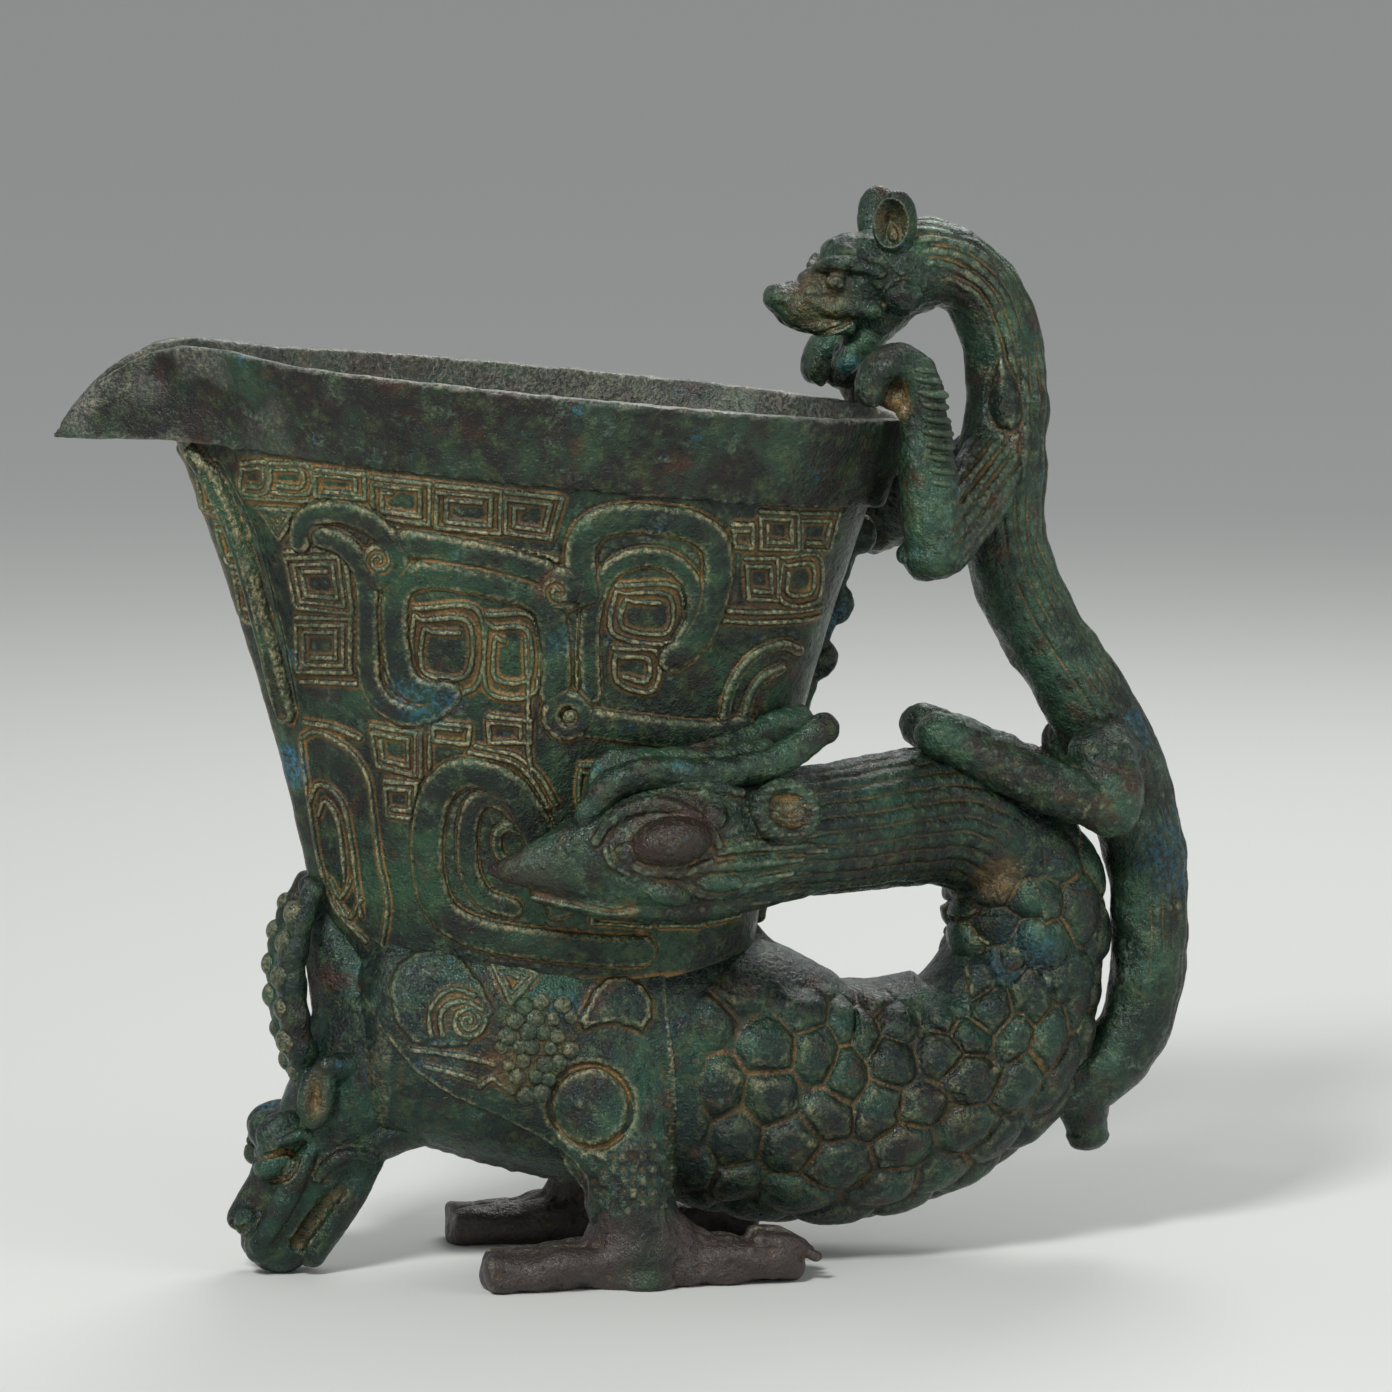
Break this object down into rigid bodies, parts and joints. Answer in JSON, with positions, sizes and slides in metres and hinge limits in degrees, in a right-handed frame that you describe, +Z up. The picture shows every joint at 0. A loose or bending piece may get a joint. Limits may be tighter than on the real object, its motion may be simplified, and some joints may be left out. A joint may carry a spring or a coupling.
{
  "type": "bronze pouring vessel",
  "caption": "Cast bronze pouring cup with a beaked spout, standing on a scaled bird and a horned beast head, with a climbing beast as its handle.",
  "frame": {"origin": "on the floor, under the middle of the vessel's box", "axes": "+Z up, -X towards the tip of the spout, +X towards the handle, -Y towards the side where the bird's head lies"},
  "size_m": [0.1636, 0.069, 0.1561],
  "materials": {
    "cup_bronze": "cast bronze with a dark green patina, earth in the grooves",
    "rim_bronze": "smooth cast bronze with a mottled brown and green patina",
    "bird_bronze": "cast bronze with a dark blue-green patina",
    "foot_bronze": "cast bronze worn to a dark brown",
    "handle_bronze": "cast bronze with a green patina and pale verdigris on its ridges"
  },
  "bodies": {
    "root": {"cup_wall": "cup_bronze", "rim_band": "rim_bronze", "bird_body": "bird_bronze", "bird_neck": "bird_bronze", "bird_head": "bird_bronze", "bird_crest_near": "bird_bronze", "bird_crest_far": "bird_bronze", "bird_leg_near": "foot_bronze", "bird_leg_far": "foot_bronze", "front_beast_head": "bird_bronze", "front_horn_near": "bird_bronze", "front_horn_far": "bird_bronze", "front_ear_near": "bird_bronze", "front_ear_far": "bird_bronze", "handle_body": "handle_bronze", "handle_head": "handle_bronze", "handle_ear_near": "handle_bronze", "handle_ear_far": "handle_bronze", "handle_foreleg_near": "handle_bronze", "handle_foreleg_far": "handle_bronze", "handle_hindleg_near": "handle_bronze", "handle_hindleg_far": "handle_bronze", "handle_tail": "handle_bronze"}
  },
  "joints": []
}
